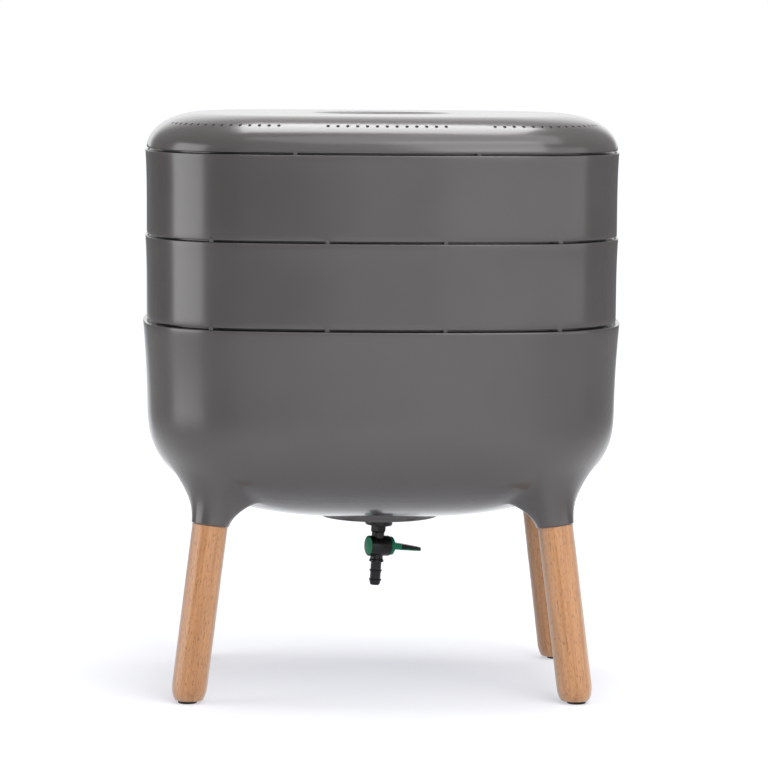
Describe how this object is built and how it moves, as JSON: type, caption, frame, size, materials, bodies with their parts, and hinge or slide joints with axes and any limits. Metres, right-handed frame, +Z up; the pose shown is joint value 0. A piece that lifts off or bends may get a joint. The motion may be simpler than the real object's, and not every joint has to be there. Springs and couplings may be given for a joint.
{
  "type": "wormery",
  "caption": "Worm composting bin: stacking trays under a vented lid, on a moulded liquid sump with turned wooden legs and a quarter-turn drain tap below.",
  "frame": {"origin": "on the floor under the middle of the wormery's bounding box", "axes": "+Z up, -Y the front, +X to the right as seen from the front, the side that the tap's lever points to"},
  "size_m": [0.5052, 0.3852, 0.61],
  "materials": {
    "shell": "satin taupe grey moulded polypropylene",
    "beech": "oiled beech, turned and sanded",
    "black": "black moulded nylon, half gloss",
    "green": "green moulded plastic, glossy",
    "grey_rubber": "grey soft rubber",
    "seal_rubber": "black soft rubber",
    "steel": "plain stainless steel"
  },
  "bodies": {
    "stand": {"base": "shell", "leg_front_left": "beech", "leg_front_right": "beech", "leg_rear_right": "beech", "leg_rear_left": "beech", "leg_screw_front_left": "steel", "leg_screw_front_right": "steel", "leg_screw_rear_right": "steel", "leg_screw_rear_left": "steel", "leg_washer_front_left": "seal_rubber", "leg_washer_front_right": "seal_rubber", "leg_washer_rear_right": "seal_rubber", "leg_washer_rear_left": "seal_rubber", "glide_front_left": "black", "glide_front_right": "black", "glide_rear_right": "black", "glide_rear_left": "black", "tap_body": "black", "tap_gasket": "grey_rubber", "tap_inner_gasket": "grey_rubber", "tap_lock_nut": "black"},
    "lower_tray": {"lower_tray": "shell"},
    "upper_tray": {"upper_tray": "shell"},
    "lid": {"lid": "shell"},
    "tap_key": {"tap_plug": "green", "tap_seal_left": "seal_rubber", "tap_seal_right": "seal_rubber", "tap_lever": "green", "tap_lever_grip": "black"}
  },
  "joints": [
    {"name": "lift_lower_tray", "type": "slide", "parent": "stand", "child": "lower_tray", "axis": [0, 0, 1], "range_m": [0, 0.12]},
    {"name": "lift_upper_tray", "type": "slide", "parent": "lower_tray", "child": "upper_tray", "axis": [0, 0, 1], "range_m": [0, 0.12]},
    {"name": "lift_lid", "type": "slide", "parent": "upper_tray", "child": "lid", "axis": [0, 0, 1], "range_m": [0, 0.12]},
    {"name": "turn_tap", "type": "hinge", "parent": "stand", "child": "tap_key", "pos_m": [-0.00199, 0, 0.14506], "axis": [0.9119, 0.4067, -0.0542], "range_deg": [0, 90]}
  ]
}
